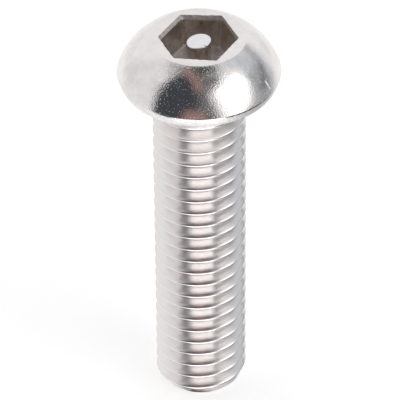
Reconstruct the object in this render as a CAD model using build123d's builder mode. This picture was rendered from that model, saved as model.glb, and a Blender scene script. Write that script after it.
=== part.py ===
from build123d import *
from math import radians, tan
import os

# Tamper-resistant button head screw, metric M6 x 25: a domed head with a hexagon socket, a fixed
# pin standing in the socket, and a shank that is threaded up to its neck. It was cold forged from
# one wire and then thread rolled, so it is one solid. Sizes are in millimetres.
#
# The screw stands on its flat tip. The origin is the centre of the tip, and +Z runs up its axis
# to the head.

# Head
head_diameter = 10.5  # over the widest ring
head_height = 3.3  # bearing face to crown
rim_height = 0.8  # bearing face to the widest ring
rim_undercut = 0.28  # how far the rim draws in between the widest ring and the bearing face
crown_diameter = 6.0  # the flat ring that is left round the socket
crown_edge_radius = 0.2
dome_radius = 4.7  # the arc from the widest ring up to the crown

# Shank
shank_length = 24.6  # tip to bearing face
tip_diameter = 5.0  # the flat end
tip_chamfer_length = 0.55
neck_length = 0.55  # the plain wire that is left between the thread and the head
neck_fillet_radius = 0.4  # where the neck runs into the bearing face

# Thread
thread_diameter = 6.0  # over the crests
thread_pitch = 1.0
thread_depth = 0.61  # crest to root
flank_angle = 30.0  # between a flank and a square cut across the axis, in degrees
crest_share = 0.125  # of the pitch, and the groove takes the rest
groove_start_height = -1.396  # the groove's middle, on the +X side, where it runs in below the tip
groove_overcut = 0.05  # how far the groove's section reaches out past the crests
turns_per_cut = 5
waste_length = 2.0  # what the blank has below the tip before it is cut to length

# Socket
socket_width = 4.05  # across the flats
socket_depth = 2.25  # crown to floor
socket_turn = -5.0  # how far the hexagon is turned about the axis, in degrees
mouth_bevel = 0.22
floor_bevel = 0.15

# Pin that stands in the socket
pin_diameter = 1.56
pin_drop = 0.32  # how far the pin's top lies below the crown
pin_edge_radius = 0.05

head_radius = head_diameter / 2
crown_radius = crown_diameter / 2
thread_radius = thread_diameter / 2
neck_radius = thread_radius - thread_depth / 2  # rolling moves as much steel out as in
tip_radius = tip_diameter / 2
rim_radius = head_radius - rim_undercut
widest_height = shank_length + rim_height
crown_height = shank_length + head_height
socket_floor_height = crown_height - socket_depth

thread_top = shank_length - neck_length
flank_slope = tan(radians(flank_angle))
groove_half_mouth = thread_pitch * (1 - crest_share) / 2
groove_half_reach = groove_half_mouth + groove_overcut * flank_slope
groove_half_floor = groove_half_mouth - thread_depth * flank_slope
groove_turns = int((thread_top - groove_half_mouth - groove_start_height) / thread_pitch)

# The tip's cone, carried on past the crests so that it leaves no sliver.
cone_radius = thread_radius + waste_length
cone_height = tip_chamfer_length * (cone_radius - tip_radius) / (thread_radius - tip_radius)
offcut_height = -cone_radius  # well below the waste

with BuildPart() as screw:
    # The head and the shank are turned from one half section, which lies beside the axis.
    with BuildSketch(Plane.XZ) as half_section:
        with BuildLine():
            dome = RadiusArc((head_radius, widest_height), (crown_radius, crown_height), -dome_radius)
            Polyline(
                dome @ 1,
                (0, crown_height),
                (0, -waste_length),
                (thread_radius, -waste_length),
                (thread_radius, thread_top),
                (neck_radius, thread_top),
                (neck_radius, shank_length),
                (rim_radius, shank_length),
                dome @ 0,
            )
        make_face()
        neck_corner = half_section.vertices().sort_by_distance((neck_radius, shank_length))[0]
        fillet(neck_corner, radius=neck_fillet_radius)
        crown_edge = half_section.vertices().sort_by_distance((crown_radius, crown_height))[0]
        fillet(crown_edge, radius=crown_edge_radius)
    revolve(axis=Axis.Z)

    # The socket is driven in from the crown, by a punch with bevelled edges.
    with BuildSketch(Plane.XY.offset(crown_height)):
        RegularPolygon(
            radius=socket_width / 2,
            side_count=6,
            major_radius=False,
            rotation=socket_turn,
        )
    extrude(amount=-socket_depth, mode=Mode.SUBTRACT)
    floor_edges = screw.edges().filter_by(GeomType.LINE).filter_by(Plane.XY).group_by(Axis.Z)[0]
    chamfer(floor_edges, length=floor_bevel)
    mouth_edges = screw.edges().filter_by(GeomType.LINE).filter_by(Plane.XY).group_by(Axis.Z)[-1]
    chamfer(mouth_edges, length=mouth_bevel)

    # The pin stands on the socket's floor.
    with BuildSketch(Plane.XY.offset(socket_floor_height)):
        Circle(pin_diameter / 2)
    extrude(amount=socket_depth - pin_drop)
    pin_top = screw.edges(Select.LAST).filter_by(GeomType.CIRCLE).sort_by(Axis.Z)[-1]
    fillet(pin_top, radius=pin_edge_radius)

    # The thread's groove winds up the shank, a few turns to each cut.
    for first_turn in range(0, groove_turns, turns_per_cut):
        turns = min(turns_per_cut, groove_turns - first_turn)
        start_height = groove_start_height + first_turn * thread_pitch
        with BuildLine() as groove_path:
            Helix(thread_pitch, turns * thread_pitch, thread_radius, center=(0, 0, start_height))
        groove_plane = Plane(groove_path.line @ 0, x_dir=(1, 0, 0), z_dir=groove_path.line % 0)
        with BuildSketch(groove_plane):
            with BuildLine():
                Polyline(
                    (groove_overcut, groove_half_reach),
                    (-thread_depth, groove_half_floor),
                    (-thread_depth, -groove_half_floor),
                    (groove_overcut, -groove_half_reach),
                    close=True,
                )
            make_face()
        sweep(is_frenet=True, mode=Mode.SUBTRACT)

    # The end is cut to length and chamfered.
    with BuildSketch(Plane.XZ):
        with BuildLine():
            Polyline(
                (0, 0),
                (tip_radius, 0),
                (cone_radius, cone_height),
                (cone_radius, offcut_height),
                (0, offcut_height),
                close=True,
            )
        make_face()
    revolve(axis=Axis.Z, mode=Mode.SUBTRACT)

screw.part.label = "screw"
os.makedirs("parts", exist_ok=True)
export_step(screw.part, "parts/screw.step")
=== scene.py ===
"""A tamper-resistant button head screw, metric M6 x 25, dressed for the picture.

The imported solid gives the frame. One closed skin takes its place: a forged head with its socket
and pin, and a rolled thread with the rounded roots and the run-out that the solid leaves out.
Sizes are written in millimetres and turned into metres where a mesh or a material is made.
"""

import math
from functools import partial

import bmesh
import bpy
from mathutils import Matrix, Vector, noise


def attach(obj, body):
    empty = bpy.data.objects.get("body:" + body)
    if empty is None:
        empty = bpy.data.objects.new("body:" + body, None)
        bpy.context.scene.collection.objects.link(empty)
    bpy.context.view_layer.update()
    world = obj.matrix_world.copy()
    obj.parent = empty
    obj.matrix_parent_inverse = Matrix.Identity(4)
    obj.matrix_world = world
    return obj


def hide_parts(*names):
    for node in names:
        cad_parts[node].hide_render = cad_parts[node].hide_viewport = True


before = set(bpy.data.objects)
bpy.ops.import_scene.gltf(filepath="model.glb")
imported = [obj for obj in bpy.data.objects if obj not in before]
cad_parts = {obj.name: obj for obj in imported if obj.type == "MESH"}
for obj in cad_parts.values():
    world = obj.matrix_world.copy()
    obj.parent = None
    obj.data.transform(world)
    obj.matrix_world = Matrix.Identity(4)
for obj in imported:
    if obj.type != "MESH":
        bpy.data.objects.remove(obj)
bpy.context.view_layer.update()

MM = 0.001  # one millimetre, in metres

# Head
HEAD_RADIUS = 5.25  # over the widest ring
HEAD_HEIGHT = 3.3  # bearing face to crown
RIM_HEIGHT = 0.63  # bearing face to the widest ring, a little worn down
RIM_LIP = 0.10  # the last strip of the dome, nearly upright
RIM_LIP_LEAN = 6.0  # its lean, in degrees
RIM_UNDERCUT = 0.28  # how far the band below the widest ring is drawn in
RIM_EDGE = 0.012  # how close the nearest rings lie to the widest one
RIM_FOOT = 0.11  # how far the band's lower edge is rounded
CROWN_RADIUS = 3.0  # over the flat ring left round the socket
CROWN_EDGE = 0.2  # the radius of that ring's outer edge
CROWN_MARGIN = 0.4  # left free round the socket's corners before the crown's middle mesh ring
DOME_RADIUS = 4.7  # of the dome's arc in the half section

# The rim's edge wanders where the die's halves met
RIM_BURR = 0.045
BURR_SWAY = 2.2  # its long waves, in steps of the noise to one millimetre
BURR_JAG = 7.0  # its short waves
BURR_SEED = 9.0
BURR_FADE = (0.6, 1.0)  # its share on the last two rings of the dome
BURR_ROWS = 4  # rings below the widest one over which it dies away

# Shank and rolled thread
THREAD_RADIUS = 3.0  # over the crests
PITCH = 1.0
SHANK_LENGTH = 24.6  # tip to bearing face
NECK_RADIUS = 2.695  # the plain wire between the thread and the head
NECK_FILLET = 0.4
TIP_RADIUS = 2.5
TIP_CHAMFER = 0.55
CREST_AT_FRONT = 22.854  # height at which a crest crosses the front of the shank
RUNOUT_FROM = 23.35  # where the thread starts to fade into the neck
RUNOUT_TO = 24.0

# The thread's profile, in pitches
CREST_HALF = 1 / 16  # half the crest's flat
CREST_SOFTNESS = 0.012  # how softly the flanks meet the crest
FLANK_SLOPE = math.sqrt(3)  # a flank lies 30 degrees from the radius
ROOT_RADIUS = 0.08  # of the circle that rounds the root
ROOT_CENTRE = 2 * ROOT_RADIUS - FLANK_SLOPE * (0.5 - CREST_HALF)  # its height, to touch both flanks
ROOT_START = 0.5 - ROOT_RADIUS * math.cos(math.pi / 6)  # how far from a crest it touches them

# Socket and pin
WALLS = 6
SOCKET_WIDTH = 4.05  # across the flats
SOCKET_DEPTH = 2.25
SOCKET_TURN = -5.0  # degrees about the axis
SOCKET_CORNER = 0.06  # how far a corner between two walls is rounded off
SOCKET_EDGE = 0.02  # how close the mesh rings lie to the socket's edges, across
SOCKET_STEP = 0.012  # and in height
WALL_START = 0.03  # the walls' lowest ring above the floor's bevel
MOUTH_BEVEL = 0.19  # how deep the mouth's bevel goes
FLOOR_BEVEL = 0.15
# The punch spread the mouth unevenly. Its corners lie at (radius, degrees round from +X), and
# each wall's bevel, from the corner of that number to the next, has its own width.
MOUTH_CORNERS = [(2.53, -3.5), (2.69, 56.5), (2.65, 116.5), (2.57, 179.0), (2.73, 234.0), (2.74, 293.5)]
BEVEL_WIDTHS = [0.06, 0.11, 0.17, 0.12, 0.15, 0.10]
MOUTH_TEAR = 0.06  # how far the mouth's edge is torn
TEAR_WAVE = 5.0  # the tears' waves, in steps of the noise to one millimetre
TEAR_SEED = 3.0
PIN_RADIUS = 0.78
PIN_DROP = 0.32  # crown to the pin's top
PIN_SLANT = 0.14  # rise of the pin's top towards +X
PIN_EDGE = 0.05
PIN_FOOT = 0.06  # the small fillet round the pin's foot
PIN_MARGIN = 0.2  # from the pin to the mesh ring round it
PIN_NICK = (-56.0, 6.0, 0.07)  # a nick in its edge: degrees round from +X, half width, depth

# Mesh
COLUMNS = 144  # round the axis, a whole number to each wall of the socket
THREAD_ROWS = 20  # to one pitch
ROW_CROWDING = 0.8  # how far the rows draw together at crest and root, from 0 to 1
WELD = 0.001  # points nearer than this are one point
SLIVER = 0.00001  # edges shorter than this are dissolved
SHARP_ANGLE = 38.0  # degrees between two faces, past which their edge stays sharp
DOME, RIM, SOCKET, FLOOR, PIN, THREAD = range(6)  # the materials' numbers

WIDEST_HEIGHT = SHANK_LENGTH + RIM_HEIGHT
CROWN_HEIGHT = SHANK_LENGTH + HEAD_HEIGHT
FLOOR_HEIGHT = CROWN_HEIGHT - SOCKET_DEPTH
PIN_TOP = CROWN_HEIGHT - PIN_DROP
START_ANGLE = math.radians(SOCKET_TURN)


# ---------------------------------------------------------------- nodes


def feed(tree, socket, value):
    """Gives a socket a constant, or another node's output."""
    if isinstance(value, bpy.types.NodeSocket):
        tree.links.new(value, socket)
    else:
        socket.default_value = value


def math_node(tree, operation, *values, clamp=False):
    """A Math node; each value is a number or a socket."""
    node = tree.nodes.new("ShaderNodeMath")
    node.operation = operation
    node.use_clamp = clamp
    for socket, value in zip(node.inputs, values):
        feed(tree, socket, value)
    return node.outputs["Value"]


def vector_node(tree, operation, *values):
    """A Vector Math node; each value is a vector or a socket."""
    node = tree.nodes.new("ShaderNodeVectorMath")
    node.operation = operation
    for socket, value in zip(node.inputs, values):
        feed(tree, socket, value)
    return node


def smooth_step(tree, value, low, high):
    """0 up to `low`, 1 from `high` on, and a smooth rise between them."""
    node = tree.nodes.new("ShaderNodeMapRange")
    node.interpolation_type = "SMOOTHSTEP"
    feed(tree, node.inputs["Value"], value)
    feed(tree, node.inputs["From Min"], low)
    feed(tree, node.inputs["From Max"], high)
    return node.outputs["Result"]


def noise_node(tree, point, size, detail=2.0, roughness=0.5, stretch=None):
    """Noise whose blots are about `size` millimetres across."""
    if stretch:
        mapping = tree.nodes.new("ShaderNodeMapping")
        mapping.inputs["Scale"].default_value = stretch
        tree.links.new(point, mapping.inputs["Vector"])
        point = mapping.outputs["Vector"]
    node = tree.nodes.new("ShaderNodeTexNoise")
    node.inputs["Scale"].default_value = 1 / (size * MM)
    node.inputs["Detail"].default_value = detail
    node.inputs["Roughness"].default_value = roughness
    tree.links.new(point, node.inputs["Vector"])
    return node.outputs["Fac"]


def ramp_node(tree, factor, places, values):
    """A colour ramp with each value, a colour or a grey, at its place between 0 and 1."""
    node = tree.nodes.new("ShaderNodeValToRGB")
    elements = node.color_ramp.elements
    while len(elements) < len(places):
        elements.new(0.5)
    for element, position, value in zip(elements, places, values):
        element.position = position
        colour = (value,) * 3 if isinstance(value, float) else value
        element.color = (*colour, 1.0)
    tree.links.new(factor, node.inputs["Fac"])
    return node.outputs["Color"]


def bump_node(tree, height, depth, normal=None):
    """A Bump node; depth is the height of a full step, in millimetres."""
    node = tree.nodes.new("ShaderNodeBump")
    node.inputs["Strength"].default_value = 1.0
    node.inputs["Distance"].default_value = depth * MM
    tree.links.new(height, node.inputs["Height"])
    if normal is not None:
        tree.links.new(normal, node.inputs["Normal"])
    return node.outputs["Normal"]


# ---------------------------------------------------------------- materials

# Each finish's tones, in the order in which its noise runs through them
FORGED_TONES = [(0.79, 0.752, 0.738), (0.872, 0.836, 0.824), (0.92, 0.886, 0.874)]
RIM_TONES = [(0.82, 0.81, 0.805), (0.96, 0.955, 0.95)]
# the socket walls' tones lie below the dome's: painted shade of the recess
SOCKET_SHADED_TONES = [(0.59, 0.535, 0.48), (0.79, 0.735, 0.68)]
# the floor's tones, also used on the mouth's bevel, are darker still: painted shade of the socket
FLOOR_SHADED_TONES = [(0.50, 0.455, 0.445), (0.68, 0.63, 0.62)]
PIN_TONES = [(0.86, 0.86, 0.88), (0.90, 0.90, 0.92)]
THREAD_TONES = [(0.93, 0.892, 0.878), (0.885, 0.850, 0.838), (0.87, 0.838, 0.828)]

# Hairline scratches on the dome: from one (x, y) to another, and their depth
HAIRLINES = [
    ((4.17, -2.42), (4.42, -2.46), 0.024),
    ((-2.30, -2.80), (-1.50, -3.01), 0.006),
]
HAIRLINE_WIDTH = 0.06

# The thread's finish: duller near the neck and, by degrees, towards the tip
THREAD_ROUGHNESS = 0.17
NECK_ROUGHNESS = 0.25
NECK_DULL_FROM = 19.0
NECK_DULL_TO = 23.5
TIP_SHARE = 0.28  # the lowest part of the shank, as a share of its length
TIP_DULLING = 0.2  # how fast the roughness rises there, to one whole length
CLOUD_SHARE = 0.4  # how much of the tone follows the noise; the rest follows the height
SATIN_ROUGHNESS = 0.30
SATIN_SHARE = 0.3


def new_material(name):
    """An empty node material with its output and a metallic shader."""
    material = bpy.data.materials.new(name)
    material.use_nodes = True
    tree = material.node_tree
    tree.nodes.clear()
    output = tree.nodes.new("ShaderNodeOutputMaterial")
    shader = tree.nodes.new("ShaderNodeBsdfPrincipled")
    shader.inputs["Metallic"].default_value = 1.0
    tree.links.new(shader.outputs["BSDF"], output.inputs["Surface"])
    return material, tree, shader


def place(tree):
    """The point on the piece, in metres."""
    return tree.nodes.new("ShaderNodeTexCoord").outputs["Object"]


def hairline(tree, point, start, end):
    """1 on a straight scratch between two points seen from above, and 0 beside it."""
    start = Vector((*start, 0)) * MM
    along = Vector((*end, 0)) * MM - start
    flat = vector_node(tree, "MULTIPLY", point, Vector((1, 1, 0))).outputs["Vector"]
    away = vector_node(tree, "SUBTRACT", flat, start).outputs["Vector"]
    reach = vector_node(tree, "DOT_PRODUCT", away, along).outputs["Value"]
    share = math_node(tree, "DIVIDE", reach, along.length_squared, clamp=True)
    foot = vector_node(tree, "SCALE", along)
    feed(tree, foot.inputs["Scale"], share)
    gap = vector_node(tree, "DISTANCE", away, foot.outputs["Vector"]).outputs["Value"]
    fall = math_node(tree, "DIVIDE", gap, HAIRLINE_WIDTH * MM, clamp=True)
    return math_node(tree, "SUBTRACT", 1.0, fall)


def forged_steel():
    """Bright stainless steel of the dome: nearly polished, tumbled, with fine pits."""
    material, tree, shader = new_material("forged_bright_steel")
    point = place(tree)
    cloud = noise_node(tree, point, size=1.3, detail=4.0, roughness=0.6)
    feed(tree, shader.inputs["Base Color"], ramp_node(tree, cloud, (0.32, 0.5, 0.66), FORGED_TONES))
    haze = noise_node(tree, point, size=0.5, detail=3.0)
    feed(tree, shader.inputs["Roughness"], ramp_node(tree, haze, (0.3, 0.75), (0.07, 0.13)))
    grain = noise_node(tree, point, size=0.10, roughness=0.6)
    pits = ramp_node(tree, noise_node(tree, point, size=0.10, detail=1.0), (0.30, 0.36), (0.0, 1.0))
    normal = bump_node(tree, noise_node(tree, point, size=0.7), depth=0.009)
    normal = bump_node(tree, grain, depth=0.009, normal=normal)
    normal = bump_node(tree, pits, depth=0.003, normal=normal)
    for start, end, depth in HAIRLINES:
        normal = bump_node(tree, hairline(tree, point, start, end), depth=-depth, normal=normal)
    feed(tree, shader.inputs["Normal"], normal)
    return material


def rough_steel():
    """The rim's edge, where the forging die met: bright but uneven."""
    material, tree, shader = new_material("rough_rim_steel")
    point = place(tree)
    cloud = noise_node(tree, point, size=0.2, detail=3.0)
    feed(tree, shader.inputs["Base Color"], ramp_node(tree, cloud, (0.3, 0.6), RIM_TONES))
    haze = noise_node(tree, point, size=0.15)
    feed(tree, shader.inputs["Roughness"], ramp_node(tree, haze, (0.3, 0.7), (0.25, 0.45)))
    lumps = noise_node(tree, point, size=0.14, detail=3.0, roughness=0.6)
    feed(tree, shader.inputs["Normal"], bump_node(tree, lumps, depth=0.04))
    return material


def socket_steel():
    """The punched socket's walls: browner, with upright traces of the punch, and darker than the dome's
    steel: painted shade of the recess.
    """
    material, tree, shader = new_material("socket_walls_with_painted_shade")
    point = place(tree)
    cloud = noise_node(tree, point, size=0.6, detail=3.0)
    feed(tree, shader.inputs["Base Color"], ramp_node(tree, cloud, (0.3, 0.7), SOCKET_SHADED_TONES))
    haze = noise_node(tree, point, size=0.3)
    feed(tree, shader.inputs["Roughness"], ramp_node(tree, haze, (0.3, 0.7), (0.25, 0.42)))
    traces = noise_node(tree, point, size=0.2, roughness=0.6, stretch=(1.0, 1.0, 0.25))
    feed(tree, shader.inputs["Normal"], bump_node(tree, traces, depth=0.012))
    return material


def floor_steel():
    """The socket's floor: crushed by the punch's end, so it is dull. Its tones, darker than the dome's
    steel, are painted shade of the socket; the mouth's bevel takes them too.
    """
    material, tree, shader = new_material("crushed_floor_with_painted_shade")
    point = place(tree)
    cloud = noise_node(tree, point, size=0.3, detail=3.0)
    feed(tree, shader.inputs["Base Color"], ramp_node(tree, cloud, (0.3, 0.7), FLOOR_SHADED_TONES))
    shader.inputs["Roughness"].default_value = 0.55
    dents = noise_node(tree, point, size=0.15, detail=3.0, roughness=0.6)
    feed(tree, shader.inputs["Normal"], bump_node(tree, dents, depth=0.02))
    return material


def pin_steel():
    """The flat top of the pin: satin and pale."""
    material, tree, shader = new_material("satin_pin_steel")
    point = place(tree)
    cloud = noise_node(tree, point, size=0.4)
    feed(tree, shader.inputs["Base Color"], ramp_node(tree, cloud, (0.3, 0.7), PIN_TONES))
    shader.inputs["Roughness"].default_value = 0.28
    grain = noise_node(tree, point, size=0.12)
    feed(tree, shader.inputs["Normal"], bump_node(tree, grain, depth=0.002))
    return material


def add_satin(tree, shader):
    """Gives part of the surface a wider shine of the same colour."""
    satin = tree.nodes.new("ShaderNodeBsdfPrincipled")
    satin.inputs["Metallic"].default_value = 1.0
    satin.inputs["Roughness"].default_value = SATIN_ROUGHNESS
    for name in ("Base Color", "Normal"):
        tree.links.new(shader.inputs[name].links[0].from_socket, satin.inputs[name])
    mix = tree.nodes.new("ShaderNodeMixShader")
    mix.inputs[0].default_value = SATIN_SHARE
    tree.links.new(shader.outputs["BSDF"], mix.inputs[1])
    tree.links.new(satin.outputs["BSDF"], mix.inputs[2])
    output = next(node for node in tree.nodes if node.bl_idname == "ShaderNodeOutputMaterial")
    tree.links.new(mix.outputs[0], output.inputs["Surface"])


def rolled_tone(tree, point, share):
    """The thread's colour: clouded, and a little paler towards the tip."""
    calc = partial(math_node, tree)
    height = calc("MULTIPLY", share, 1 - CLOUD_SHARE)
    cloud = calc("MULTIPLY_ADD", noise_node(tree, point, size=0.8, detail=3.0), CLOUD_SHARE, height)
    return ramp_node(tree, cloud, (0.12, 0.5, 0.9), THREAD_TONES)


def rolled_roughness(tree, point, height, share):
    """The thread's roughness, from the neck's and the tip's dulling and some wear in streaks."""
    calc = partial(math_node, tree)
    upper = smooth_step(tree, height, NECK_DULL_FROM * MM, NECK_DULL_TO * MM)
    upper = calc("MULTIPLY_ADD", upper, NECK_ROUGHNESS - THREAD_ROUGHNESS, THREAD_ROUGHNESS)
    lower = calc("MULTIPLY", calc("SUBTRACT", TIP_SHARE, share, clamp=True), TIP_DULLING)
    streaks = noise_node(tree, point, size=0.6, stretch=(1.0, 1.0, 8.0))
    worn = ramp_node(tree, streaks, (0.3, 0.7), (0.0, 0.04))
    return calc("ADD", upper, calc("ADD", worn, lower))


def rolled_steel():
    """The rolled thread: satin flanks with fine lines that run with the thread."""
    material, tree, shader = new_material("rolled_thread_steel")
    point = place(tree)
    split = tree.nodes.new("ShaderNodeSeparateXYZ")
    tree.links.new(point, split.inputs[0])
    height = split.outputs["Z"]
    share = math_node(tree, "DIVIDE", height, SHANK_LENGTH * MM)
    feed(tree, shader.inputs["Base Color"], rolled_tone(tree, point, share))
    feed(tree, shader.inputs["Roughness"], rolled_roughness(tree, point, height, share))
    shader.inputs["Anisotropic"].default_value = 0.8
    shader.inputs["Anisotropic Rotation"].default_value = 0.25
    tangent = tree.nodes.new("ShaderNodeTangent")
    tangent.direction_type = "RADIAL"
    tangent.axis = "Z"
    tree.links.new(tangent.outputs[0], shader.inputs["Tangent"])
    lines = noise_node(tree, point, size=1.5, detail=3.0, roughness=0.6, stretch=(1.0, 1.0, 30.0))
    feed(tree, shader.inputs["Normal"], bump_node(tree, lines, depth=0.00012))
    add_satin(tree, shader)
    return material


# ---------------------------------------------------------------- head


def round_ring(radius, height):
    """A ring of points about the axis."""
    angles = [START_ANGLE + 2 * math.pi * i / COLUMNS for i in range(COLUMNS)]
    return [(radius * math.cos(a), radius * math.sin(a), height) for a in angles]


def between(ring, other, share):
    """The ring that lies a share of the way from one ring to the other."""
    return [tuple(Vector(a).lerp(Vector(b), share)) for a, b in zip(ring, other)]


def corner_ring(corners, height, blunt):
    """A ring of points along straight walls, its corners taken back by `blunt`."""
    ring = []
    wall_columns = COLUMNS // WALLS
    for column in range(COLUMNS):
        wall, step = divmod(column, wall_columns)
        turned = (step / wall_columns - 0.5) * 2 * math.pi / WALLS
        share = 0.5 + 0.5 * math.tan(turned) / math.tan(math.pi / WALLS)
        start, end = Vector(corners[wall]), Vector(corners[(wall + 1) % WALLS])
        point = start.lerp(end, share)
        # past the limit, a soft bend draws the point back towards the axis
        limit = (start if share < 0.5 else end).length - blunt
        gap = point.length - limit
        point *= (limit + 0.5 * (gap - math.hypot(gap, blunt / 2))) / point.length
        ring.append((point.x, point.y, height))
    return ring


def hexagon_ring(width, height):
    """A regular hexagonal ring, `width` across the flats."""
    radius = width / 2 / math.cos(math.pi / WALLS)
    turns = [START_ANGLE + 2 * math.pi / WALLS * k for k in range(WALLS)]
    corners = [(radius * math.cos(a), radius * math.sin(a)) for a in turns]
    return corner_ring(corners, height, SOCKET_CORNER)


def mouth_corners():
    """The mouth's six corners at the crown."""
    return [
        (radius * math.cos(math.radians(turn)), radius * math.sin(math.radians(turn)))
        for radius, turn in MOUTH_CORNERS
    ]


def wall_corners():
    """The six corners at the foot of the mouth's bevel, where the walls' lines cross."""
    mouth = [Vector(corner) for corner in mouth_corners()]
    lines = []
    for k, width in enumerate(BEVEL_WIDTHS):
        along = (mouth[(k + 1) % WALLS] - mouth[k]).normalized()
        inward = Vector((-along.y, along.x))
        lines.append((mouth[k] + inward * width, along))
    corners = []
    for k in range(WALLS):
        (a, u), (b, v) = lines[k - 1], lines[k]
        corners.append(tuple(a + u * (b - a).cross(v) / u.cross(v)))
    return corners


def arc_point(centre, radius, angle):
    """The point (r, z) of the half section that lies on a circle at that angle, in radians."""
    return (centre[0] + radius * math.cos(angle), centre[1] + radius * math.sin(angle))


def arc_points(centre, radius, start, end, steps):
    """Points (r, z) on an arc in the half section."""
    return [arc_point(centre, radius, start + (end - start) * i / steps) for i in range(steps + 1)]


def dome_points(steps=26):
    """The dome's arc, from the crown's edge down to the widest ring, with both ends softened."""
    low = Vector((HEAD_RADIUS, WIDEST_HEIGHT))
    high = Vector((CROWN_RADIUS, CROWN_HEIGHT))
    chord = high - low
    sagitta = DOME_RADIUS - math.sqrt(DOME_RADIUS**2 - (chord.length / 2) ** 2)
    outward = Vector((chord.y, -chord.x)).normalized()
    centre = (low + high) / 2 + outward * (sagitta - DOME_RADIUS)
    end = math.atan2(low.y - centre.y, low.x - centre.x)
    # the crown's edge: a circle that touches the crown plane and the dome from inside
    inner = DOME_RADIUS - CROWN_EDGE
    edge_z = CROWN_HEIGHT - CROWN_EDGE
    edge_r = centre.x + math.sqrt(inner**2 - (edge_z - centre.y) ** 2)
    touch = math.atan2(edge_z - centre.y, edge_r - centre.x)
    points = arc_points((edge_r, edge_z), CROWN_EDGE, math.pi / 2, touch, 5)
    # the arc stops just above the lip, whose strip then runs down to the widest ring
    points += arc_points(centre, DOME_RADIUS, touch, end + (RIM_LIP + RIM_EDGE) / DOME_RADIUS, steps)[1:]
    points.append(arc_point(centre, DOME_RADIUS, end + RIM_LIP / DOME_RADIUS))
    lean = math.radians(RIM_LIP_LEAN)
    points.append((HEAD_RADIUS - RIM_EDGE * math.sin(lean), WIDEST_HEIGHT + RIM_EDGE * math.cos(lean)))
    points.append((HEAD_RADIUS, WIDEST_HEIGHT))
    return points


def rim_points(rows=7):
    """The drawn-in band under the widest ring, and its rounded foot."""
    top = Vector((HEAD_RADIUS, WIDEST_HEIGHT))
    foot = Vector((HEAD_RADIUS - RIM_UNDERCUT, SHANK_LENGTH))
    down = (foot - top).normalized()
    turn = math.atan2(-down.x, -down.y)  # how far the band leans in
    back = RIM_FOOT * math.tan((math.pi / 2 - turn) / 2)
    start = foot - down * back
    first = top + down * RIM_EDGE
    points = [tuple(first.lerp(start, i / rows)) for i in range(rows)]
    centre = (foot.x - back, SHANK_LENGTH + RIM_FOOT)
    points += arc_points(centre, RIM_FOOT, -turn, -math.pi / 2, 5)
    return points


def burred_ring(radius, height, share):
    """A ring that wanders where the die's halves met; `share` of the full burr."""
    ring = []
    burr = RIM_BURR * share
    for x, y, z in round_ring(radius, height):
        sway = noise.noise(Vector((x * BURR_SWAY, y * BURR_SWAY, z)))
        jag = noise.noise(Vector((x * BURR_JAG, y * BURR_JAG, z + BURR_SEED)))
        move = burr * (sway + jag) / 2
        scale = 1 + (move - burr) / radius
        ring.append((x * scale, y * scale, z + move))
    return ring


def pin_ring(radius, height, nicked=False):
    """A ring of the pin, slanted as its top is, and nicked if it lies on the top's edge."""
    middle, half, depth = PIN_NICK
    ring = []
    for x, y, z in round_ring(radius, height):
        off = abs((math.degrees(math.atan2(y, x)) - middle + 180) % 360 - 180)
        nick = depth * max(0.0, 1 - (off / half) ** 2) if nicked else 0.0
        scale = 1 - nick / 2
        ring.append((x * scale, y * scale, z + PIN_SLANT * x - nick))
    return ring


def pin_rings():
    """The pin's rings, from the middle of its top down to its foot."""
    rings = [(pin_ring(PIN_RADIUS * share, PIN_TOP), PIN) for share in (0.35, 0.8)]
    edge = arc_points((PIN_RADIUS - PIN_EDGE, PIN_TOP - PIN_EDGE), PIN_EDGE, math.pi / 2, 0, 3)
    rings += [(pin_ring(r, z, nicked=True), PIN) for r, z in edge]
    low = FLOOR_HEIGHT + PIN_FOOT
    for share in (0.12, 0.4, 0.7):
        rings.append((pin_ring(PIN_RADIUS, PIN_TOP + (low - PIN_TOP) * share), SOCKET))
    foot = arc_points((PIN_RADIUS + PIN_FOOT, low), PIN_FOOT, math.pi, 1.5 * math.pi, 3)
    return rings + [(round_ring(r, z), SOCKET) for r, z in foot]


def jagged(ring, share):
    """The ring with a share of the small tears that the punch left at the mouth."""
    torn = []
    for x, y, z in ring:
        tear = MOUTH_TEAR * share * noise.noise(Vector((x * TEAR_WAVE, y * TEAR_WAVE, TEAR_SEED)))
        scale = 1 + tear / math.hypot(x, y)
        torn.append((x * scale, y * scale, z))
    return torn


def socket_rings(rows=8):
    """The socket's rings: floor, floor bevel, walls in so many rows, and the mouth's bevel."""
    inner = SOCKET_WIDTH - 2 * FLOOR_BEVEL
    low, high = FLOOR_HEIGHT + FLOOR_BEVEL, CROWN_HEIGHT - MOUTH_BEVEL
    floor = [
        hexagon_ring(2 * (PIN_RADIUS + PIN_MARGIN), FLOOR_HEIGHT),
        hexagon_ring(inner - 2 * SOCKET_EDGE, FLOOR_HEIGHT),
        hexagon_ring(inner + SOCKET_EDGE, FLOOR_HEIGHT + SOCKET_STEP),
        hexagon_ring(SOCKET_WIDTH - SOCKET_EDGE, low - SOCKET_STEP),
    ]
    foot = hexagon_ring(SOCKET_WIDTH, low + WALL_START)
    head = corner_ring(wall_corners(), high - SOCKET_EDGE, SOCKET_CORNER / 2)
    walls = [between(foot, head, i / rows) for i in range(rows + 1)]
    mouth = corner_ring(mouth_corners(), CROWN_HEIGHT, SOCKET_CORNER / 2)
    bevel = [jagged(between(head, mouth, share), share) for share in (0.1, 0.5, 0.93, 1.0)]
    rings = [(ring, FLOOR) for ring in floor]
    rings += [(ring, SOCKET) for ring in walls]
    return rings + [(ring, FLOOR) for ring in bevel]


def crown_and_dome_rings():
    """The rings from the crown's flat over the dome to the widest one."""
    points = dome_points()
    corner = SOCKET_WIDTH / 2 / math.cos(math.pi / WALLS) + CROWN_MARGIN
    rings = [(round_ring((corner + points[0][0]) / 2, CROWN_HEIGHT), DOME)]
    rings += [(round_ring(r, z), DOME) for r, z in points[:-2]]
    return rings + [(burred_ring(r, z, share), DOME) for (r, z), share in zip(points[-2:], BURR_FADE)]


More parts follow.
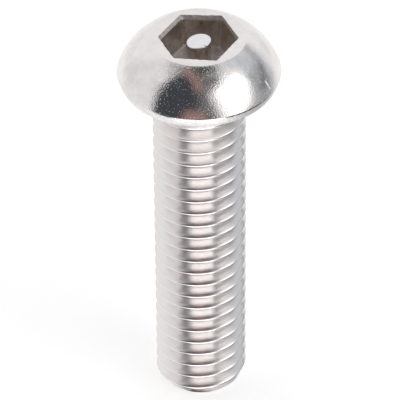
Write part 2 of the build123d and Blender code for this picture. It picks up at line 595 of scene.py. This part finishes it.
def underside_rings():
    """The rings of the rim's band, the bearing face and the fillet at the neck."""
    band = rim_points()
    rings = [(burred_ring(r, z, max(0.0, 1 - i / BURR_ROWS)), RIM) for i, (r, z) in enumerate(band)]
    bearing = band[-1][0]
    fillet_edge = NECK_RADIUS + NECK_FILLET
    for share in (0.05, 0.33, 0.66):
        rings.append((round_ring(bearing + (fillet_edge - bearing) * share, SHANK_LENGTH), DOME))
    fillet = arc_points((fillet_edge, SHANK_LENGTH - NECK_FILLET), NECK_FILLET, math.pi / 2, math.pi, 6)
    return rings + [(round_ring(r, z), THREAD) for r, z in fillet]


def build_head():
    """The head's skin, open only at the neck. Each strip of faces between two rings takes the
    second one's material."""
    mesh = bmesh.new()
    rings = pin_rings() + socket_rings() + crown_and_dome_rings() + underside_rings()
    rows = [[mesh.verts.new(Vector(point) * MM) for point in ring] for ring, _ in rings]
    top = mesh.verts.new((0, 0, PIN_TOP * MM))
    for i in range(COLUMNS):
        j = (i + 1) % COLUMNS
        face = mesh.faces.new((top, rows[0][i], rows[0][j]))
        face.material_index = PIN
        for row in range(len(rows) - 1):
            a, b = rows[row], rows[row + 1]
            face = mesh.faces.new((a[i], b[i], b[j], a[j]))
            face.material_index = rings[row + 1][1]
    return mesh


# ---------------------------------------------------------------- thread


def first_crest():
    """Height of a crest below the tip at the start column; whole turns above it reach the neck."""
    at_start = CREST_AT_FRONT + PITCH * (START_ANGLE + math.pi / 2) / (2 * math.pi)
    return at_start - math.ceil(at_start / PITCH + 1) * PITCH


def thread_settings(steel):
    """The thread's named inputs: each one's kind and value, in metres."""
    return {
        "Pitch": ("NodeSocketFloat", PITCH * MM),
        "Crest radius": ("NodeSocketFloat", THREAD_RADIUS * MM),
        "Neck radius": ("NodeSocketFloat", NECK_RADIUS * MM),
        "Tip radius": ("NodeSocketFloat", TIP_RADIUS * MM),
        "Chamfer length": ("NodeSocketFloat", TIP_CHAMFER * MM),
        "Top": ("NodeSocketFloat", (SHANK_LENGTH - NECK_FILLET) * MM),
        "Run-out from": ("NodeSocketFloat", RUNOUT_FROM * MM),
        "Run-out to": ("NodeSocketFloat", RUNOUT_TO * MM),
        "First crest": ("NodeSocketFloat", first_crest() * MM),
        "Start angle": ("NodeSocketFloat", START_ANGLE),
        "Columns": ("NodeSocketInt", COLUMNS),
        "Rows per pitch": ("NodeSocketInt", THREAD_ROWS),
        "Turns": ("NodeSocketInt", math.ceil(SHANK_LENGTH / PITCH) + 2),
        "Steel": ("NodeSocketMaterial", steel),
    }


def flat_sheet(tree, inputs):
    """A flat grid with a column to each step round the axis, and each point's place on it: how
    far round, from 0 to 1, and how many turns along."""
    calc = partial(math_node, tree)
    grid = tree.nodes.new("GeometryNodeMeshGrid")
    rows = calc("MULTIPLY", inputs["Rows per pitch"], inputs["Turns"])
    feed(tree, grid.inputs["Vertices X"], calc("ADD", inputs["Columns"], 1))
    feed(tree, grid.inputs["Vertices Y"], calc("ADD", rows, 1))
    split = tree.nodes.new("ShaderNodeSeparateXYZ")
    feed(tree, split.inputs[0], tree.nodes.new("GeometryNodeInputPosition").outputs[0])
    around = calc("ADD", split.outputs["X"], 0.5)
    along = calc("MULTIPLY", calc("ADD", split.outputs["Y"], 0.5), inputs["Turns"])
    return grid.outputs["Mesh"], around, along


def row_height(tree, inputs, around, along):
    """The height of a point: rows climb with the helix and crowd together at crest and root."""
    calc = partial(math_node, tree)
    wave = calc("SINE", calc("MULTIPLY", along, 4 * math.pi))
    row = calc("SUBTRACT", along, calc("MULTIPLY", wave, ROW_CROWDING / (4 * math.pi)))
    climb = calc("MULTIPLY_ADD", calc("ADD", row, around), inputs["Pitch"], inputs["First crest"])
    return calc("MINIMUM", calc("MAXIMUM", climb, 0.0), inputs["Top"])


def thread_radius(tree, inputs, around, height):
    """The endless thread's radius, from the distance to the nearest crest, in pitches."""
    calc = partial(math_node, tree)
    climbed = calc("DIVIDE", calc("SUBTRACT", height, inputs["First crest"]), inputs["Pitch"])
    away = calc("PINGPONG", calc("SUBTRACT", climbed, around), 0.5)
    flank = calc("MULTIPLY", calc("SUBTRACT", away, CREST_HALF), -FLANK_SLOPE)
    crest = calc("SMOOTH_MIN", flank, 0.0, CREST_SOFTNESS)
    sunk = calc("SUBTRACT", ROOT_RADIUS**2, calc("POWER", calc("SUBTRACT", away, 0.5), 2.0))
    bowl = calc("SUBTRACT", ROOT_CENTRE, calc("SQRT", calc("MAXIMUM", sunk, 0.0)))
    deep = calc("GREATER_THAN", away, ROOT_START)
    shallow = calc("MULTIPLY", crest, calc("SUBTRACT", 1.0, deep))
    profile = calc("MULTIPLY_ADD", bowl, deep, shallow)
    return calc("MULTIPLY_ADD", profile, inputs["Pitch"], inputs["Crest radius"])


def shank_radius(tree, inputs, thread, height):
    """The shank's radius: the thread fades out at the neck, and the chamfer cuts it at the tip."""
    calc = partial(math_node, tree)
    fade = smooth_step(tree, height, inputs["Run-out from"], inputs["Run-out to"])
    kept = calc("MULTIPLY", thread, calc("SUBTRACT", 1.0, fade))
    faded = calc("MULTIPLY_ADD", inputs["Neck radius"], fade, kept)
    taper = calc("SUBTRACT", inputs["Crest radius"], inputs["Tip radius"])
    slope = calc("DIVIDE", taper, inputs["Chamfer length"])
    return calc("MINIMUM", faded, calc("MULTIPLY_ADD", height, slope, inputs["Tip radius"]))


def thread_tree(settings):
    """A node group that rolls a thread: a sheet of rows is wound up and pressed to the profile."""
    tree = bpy.data.node_groups.new("rolled_thread", "GeometryNodeTree")
    tree.interface.new_socket("Geometry", in_out="OUTPUT", socket_type="NodeSocketGeometry")
    for name, (kind, _) in settings.items():
        tree.interface.new_socket(name, in_out="INPUT", socket_type=kind)
    inputs = tree.nodes.new("NodeGroupInput").outputs
    output = tree.nodes.new("NodeGroupOutput")
    calc = partial(math_node, tree)

    sheet, around, along = flat_sheet(tree, inputs)
    angle = calc("MULTIPLY_ADD", around, 2 * math.pi, inputs["Start angle"])
    height = row_height(tree, inputs, around, along)
    radius = shank_radius(tree, inputs, thread_radius(tree, inputs, around, height), height)
    join = tree.nodes.new("ShaderNodeCombineXYZ")
    feed(tree, join.inputs["X"], calc("MULTIPLY", radius, calc("COSINE", angle)))
    feed(tree, join.inputs["Y"], calc("MULTIPLY", radius, calc("SINE", angle)))
    feed(tree, join.inputs["Z"], height)

    wound = tree.nodes.new("GeometryNodeSetPosition")
    feed(tree, wound.inputs["Geometry"], sheet)
    feed(tree, wound.inputs["Position"], join.outputs[0])
    weld = tree.nodes.new("GeometryNodeMergeByDistance")
    feed(tree, weld.inputs["Distance"], WELD * MM)
    feed(tree, weld.inputs["Geometry"], wound.outputs[0])
    real = tree.nodes.new("GeometryNodeRealizeInstances")
    feed(tree, real.inputs["Geometry"], weld.outputs[0])
    painted = tree.nodes.new("GeometryNodeSetMaterial")
    feed(tree, painted.inputs["Geometry"], real.outputs[0])
    feed(tree, painted.inputs["Material"], inputs["Steel"])
    feed(tree, output.inputs[0], painted.outputs[0])
    return tree


def build_thread(steel):
    """The thread's skin as a plain mesh."""
    settings = thread_settings(steel)
    blank = bpy.data.meshes.new("thread_blank")
    holder = bpy.data.objects.new("thread_blank", blank)
    bpy.context.scene.collection.objects.link(holder)
    modifier = holder.modifiers.new("thread", "NODES")
    modifier.node_group = thread_tree(settings)
    for item in modifier.node_group.interface.items_tree:
        if item.in_out == "INPUT":
            modifier[item.identifier] = settings[item.name][1]
    evaluated = holder.evaluated_get(bpy.context.evaluated_depsgraph_get())
    mesh = bpy.data.meshes.new_from_object(evaluated)
    holder.modifiers.remove(modifier)
    bpy.data.objects.remove(holder)
    bpy.data.meshes.remove(blank)
    return mesh


# ---------------------------------------------------------------- the screw


def add_thread(skin, thread):
    """Joins the thread's mesh to the skin and welds the two at the neck."""
    before = len(skin.faces)
    skin.from_mesh(thread)
    skin.faces.ensure_lookup_table()
    for face in skin.faces[before:]:
        face.material_index = THREAD
    bmesh.ops.remove_doubles(skin, verts=skin.verts, dist=WELD * MM)
    bmesh.ops.dissolve_degenerate(skin, edges=skin.edges, dist=SLIVER * MM)
    bpy.data.meshes.remove(thread)


def close_tip(skin):
    """The tip's flat end, a fan of faces about its middle."""
    open_edges = [edge for edge in skin.edges if edge.is_boundary]
    end = bmesh.ops.contextual_create(skin, geom=open_edges)["faces"]
    for face in bmesh.ops.poke(skin, faces=end)["faces"]:
        face.material_index = THREAD


def build_screw():
    """The whole screw as one closed skin."""
    steels = [forged_steel(), rough_steel(), socket_steel(), floor_steel(), pin_steel(), rolled_steel()]
    skin = build_head()
    add_thread(skin, build_thread(steels[THREAD]))
    close_tip(skin)
    bmesh.ops.recalc_face_normals(skin, faces=skin.faces)
    mesh = bpy.data.meshes.new("screw_body")
    skin.to_mesh(mesh)
    skin.free()
    for steel in steels:
        mesh.materials.append(steel)
    mesh.shade_smooth()
    mesh.set_sharp_from_angle(angle=math.radians(SHARP_ANGLE))
    piece = bpy.data.objects.new("screw_body", mesh)
    bpy.context.scene.collection.objects.link(piece)
    return piece


# ---------------------------------------------------------------- surroundings

# What stands round the screw, from back to front of the paint: name, colour, corners as (side, up)
# in degrees, anticlockwise as seen from the screw, and how soft its edges are, in degrees: one
# number, or one for each edge from the first corner on. A cap is round: its middle, radius and
# softness.
SURROUNDINGS = [
    ("lit table", (1.9, 1.9, 1.9), [(-26, -12), (-34, -60), (43, -60), (37, -12)], 6),
    ("left wall", (0.80, 0.80, 0.80), [(-60, -25), (-60, 89), (-120, 60), (-120, -25)], 10),
    ("left end of the table", (0.87, 0.87, 0.87), [(-60, -28), (-60, 1), (-118, 1), (-118, -28)], 5),
    ("fold of the tent", (0.45, 0.45, 0.45), "cap", (-84, 64), 9, 7),
    ("floor below the rim", (1.06, 1.06, 1.06), [(-80, -66), (180, -80), (80, -66)], 8),
    ("right wall", (0.59, 0.62, 0.66), [(126, -10), (135, 35), (132, 60), (84, 80), (80, -10)], 8),
    ("right of the table", (0.40, 0.40, 0.41), [(112, -55), (112, -2), (33, -2), (33, -24), (54, -55)], 10),
    ("table's right edge", (0.08, 0.085, 0.09), [(98, -33), (98, -14), (64, -5), (34, -9), (34, -33)], 6),
    ("far side of the table", (0.34, 0.34, 0.35), [(150, -44), (107, -48), (107, -70), (160, -70)], 8),
    ("knot on the right wall", (0.16, 0.16, 0.18), "cap", (135, 32), 3, 3),
    ("right corner", (0.36, 0.38, 0.395), [(114, -12), (116, 26), (84, 30), (78, -12)], 7),
    ("upper edge of the right wall", (0.33, 0.335, 0.35), [(119, 12), (137, 31), (133, 36), (114, 17)], 3),
    ("lower edge of the right wall", (0.20, 0.205, 0.22), [(99, -4), (121, 12), (115, 19), (89, 4)], 3),
    ("dark room", (0.050, 0.058, 0.068), [(25, -10), (25, 66), (-60, 65), (-65, 50), (-62, -10)], 4),
    ("ceiling", (0.075, 0.078, 0.080), [(79, 66), (95, 82), (-85, 82), (-77, 66), (-10, 55)], 4),
    ("room, nearer the lamp", (0.15, 0.15, 0.15), [(66, -2), (70, 66), (2, 62), (-4, 2)], 9),
    ("sleeve", (0.33, 0.215, 0.205), [(9, 46), (0, 68), (-26, 66), (-8, 44)], 3),
    ("shoulder", (0.33, 0.215, 0.205), [(0, 66), (-50, 79), (-72, 68), (-26, 62)], 3),
    ("green lamp", (0.06, 0.12, 0.06), "cap", (10, 84), 5, 3),
    ("hand", (0.32, 0.21, 0.195), [(14, -6), (4, 14), (-18, 16), (-26, -6)], 4),
    ("front left gap", (0.15, 0.15, 0.16), [(-36, -30), (-36, -4), (-55, -4), (-55, -30)], 6),
    ("soft box's glow", (0.82, 0.82, 0.82), "cap", (70, 49), 15, 4),
    (
        "soft box",
        (1.9, 1.9, 1.9),
        [(59, -4), (76, 14), (84, 32), (82, 46), (22, 42), (36, -4)],
        (7, 9, 8, 9, 18, 4),
    ),
]
TENT = (0.865, 0.865, 0.865)
TABLE = (0.95, 0.95, 0.95)
TABLE_DIP = (0.10, 0.22)  # how far below the horizon the table fades in, as sines
BACKGROUND = (1.0, 1.0, 1.0, 1.0)


def toward(side, up):
    """The direction that lies `side` degrees round from the front to the right and `up` degrees
    above the horizon."""
    a, e = math.radians(side), math.radians(up)
    return Vector((math.sin(a) * math.cos(e), -math.cos(a) * math.cos(e), math.sin(e)))


def pane_mask(tree, direction, corners, soft):
    """1 inside a flat pane whose corners lie in those directions."""
    if isinstance(soft, int):
        soft = [soft] * len(corners)
    mask = None
    for i, corner in enumerate(corners):
        edge = toward(*corner).cross(toward(*corners[(i + 1) % len(corners)])).normalized()
        half = math.sin(math.radians(soft[i]))
        inward = vector_node(tree, "DOT_PRODUCT", direction, edge).outputs["Value"]
        side = smooth_step(tree, inward, -half, half)
        mask = side if mask is None else math_node(tree, "MULTIPLY", mask, side)
    return mask


def cap_mask(tree, direction, middle, radius, soft):
    """1 inside a round patch about the middle."""
    near = math.cos(math.radians(max(radius - soft, 0)))
    far = math.cos(math.radians(radius + soft))
    inward = vector_node(tree, "DOT_PRODUCT", direction, toward(*middle)).outputs["Value"]
    return smooth_step(tree, inward, far, near)


def lay(tree, under, colour, mask):
    """Paints a colour over what lies under it, where the mask is 1."""
    node = tree.nodes.new("ShaderNodeMix")
    node.data_type = "RGBA"
    factor, lower, upper = node.inputs[0], node.inputs[6], node.inputs[7]  # those of a colour mix
    feed(tree, factor, mask)
    feed(tree, lower, under)
    feed(tree, upper, (*colour, 1.0))
    return node.outputs[2]


def build_world():
    """A white tent that is open to a dark room in front, with one soft box at the front right."""
    world = bpy.data.worlds.new("studio")
    bpy.context.scene.world = world
    world.use_nodes = True
    tree = world.node_tree
    tree.nodes.clear()
    direction = tree.nodes.new("ShaderNodeTexCoord").outputs["Generated"]
    down = vector_node(tree, "DOT_PRODUCT", direction, Vector((0, 0, -1))).outputs["Value"]
    room = lay(tree, (*TENT, 1.0), TABLE, smooth_step(tree, down, *TABLE_DIP))
    for name, colour, *shape in SURROUNDINGS:
        if shape[0] == "cap":
            mask = cap_mask(tree, direction, *shape[1:])
        else:
            mask = pane_mask(tree, direction, *shape)
        mask.node.label = name
        room = lay(tree, room, colour, mask)

    lit = tree.nodes.new("ShaderNodeBackground")
    feed(tree, lit.inputs["Color"], room)
    plain = tree.nodes.new("ShaderNodeBackground")
    feed(tree, plain.inputs["Color"], BACKGROUND)
    mix = tree.nodes.new("ShaderNodeMixShader")
    feed(tree, mix.inputs[0], tree.nodes.new("ShaderNodeLightPath").outputs["Is Camera Ray"])
    feed(tree, mix.inputs[1], lit.outputs[0])
    feed(tree, mix.inputs[2], plain.outputs[0])
    output = tree.nodes.new("ShaderNodeOutputWorld")
    feed(tree, output.inputs["Surface"], mix.outputs[0])


# ---------------------------------------------------------------- floor and camera

FLOOR_HALF = 1500.0  # half the floor's side
FLOOR_COLOUR = (0.93, 0.93, 0.93, 1.0)
FLOOR_GLOW = 0.43  # seen by the camera alone

IMAGE_SIDE = 400  # pixels
LENS_PIXELS = 3680.95  # the focal length, in pixels
SENSOR_WIDTH = 36.0
CAMERA_DISTANCE = 240.0
CAMERA_ELEVATION = 39.2  # degrees
CAMERA_ROLL = 0.442  # degrees
CAMERA_TARGET = (0.0, 0.0, 14.651)
CAMERA_NEAR = 10.0
CAMERA_FAR = 10000.0


def white_floor():
    """Plain white that looks lit through and keeps the screw's shadow. The steel looks through it
    and mirrors the table instead."""
    material = bpy.data.materials.new("white_floor")
    material.use_nodes = True
    tree = material.node_tree
    tree.nodes.clear()
    path = tree.nodes.new("ShaderNodeLightPath")
    glow = tree.nodes.new("ShaderNodeEmission")
    strength = math_node(tree, "MULTIPLY", path.outputs["Is Camera Ray"], FLOOR_GLOW)
    feed(tree, glow.inputs["Strength"], strength)
    diffuse = tree.nodes.new("ShaderNodeBsdfDiffuse")
    feed(tree, diffuse.inputs["Color"], FLOOR_COLOUR)
    both = tree.nodes.new("ShaderNodeAddShader")
    feed(tree, both.inputs[0], glow.outputs[0])
    feed(tree, both.inputs[1], diffuse.outputs[0])
    clear = tree.nodes.new("ShaderNodeBsdfTransparent")
    mix = tree.nodes.new("ShaderNodeMixShader")
    feed(tree, mix.inputs[0], path.outputs["Is Glossy Ray"])
    feed(tree, mix.inputs[1], both.outputs[0])
    feed(tree, mix.inputs[2], clear.outputs[0])
    output = tree.nodes.new("ShaderNodeOutputMaterial")
    feed(tree, output.inputs["Surface"], mix.outputs[0])
    return material


def build_floor():
    """A plain floor under the tip."""
    half = FLOOR_HALF * MM
    mesh = bpy.data.meshes.new("floor")
    corners = [(-half, -half, 0), (half, -half, 0), (half, half, 0), (-half, half, 0)]
    mesh.from_pydata(corners, [], [(0, 1, 2, 3)])
    mesh.materials.append(white_floor())
    floor = bpy.data.objects.new("floor", mesh)
    bpy.context.scene.collection.objects.link(floor)


def build_camera():
    """A long lens from the front and above."""
    elevation = math.radians(CAMERA_ELEVATION)
    back = Vector((0, -math.cos(elevation), math.sin(elevation)))
    data = bpy.data.cameras.new("camera")
    data.sensor_fit = "HORIZONTAL"
    data.sensor_width = SENSOR_WIDTH
    data.lens = LENS_PIXELS / IMAGE_SIDE * SENSOR_WIDTH
    data.clip_start = CAMERA_NEAR * MM
    data.clip_end = CAMERA_FAR * MM
    camera = bpy.data.objects.new("camera", data)
    bpy.context.scene.collection.objects.link(camera)
    camera.location = (Vector(CAMERA_TARGET) + back * CAMERA_DISTANCE) * MM
    roll = Matrix.Rotation(-math.radians(CAMERA_ROLL), 4, "Z").to_quaternion()
    camera.rotation_mode = "QUATERNION"
    camera.rotation_quaternion = (-back).to_track_quat("-Z", "Y") @ roll
    bpy.context.scene.camera = camera


# ---------------------------------------------------------------- the whole

build_camera()
build_world()
build_floor()
screw_body = build_screw()
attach(screw_body, "root")
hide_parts("screw")

bpy.context.scene.view_settings.view_transform = "Standard"
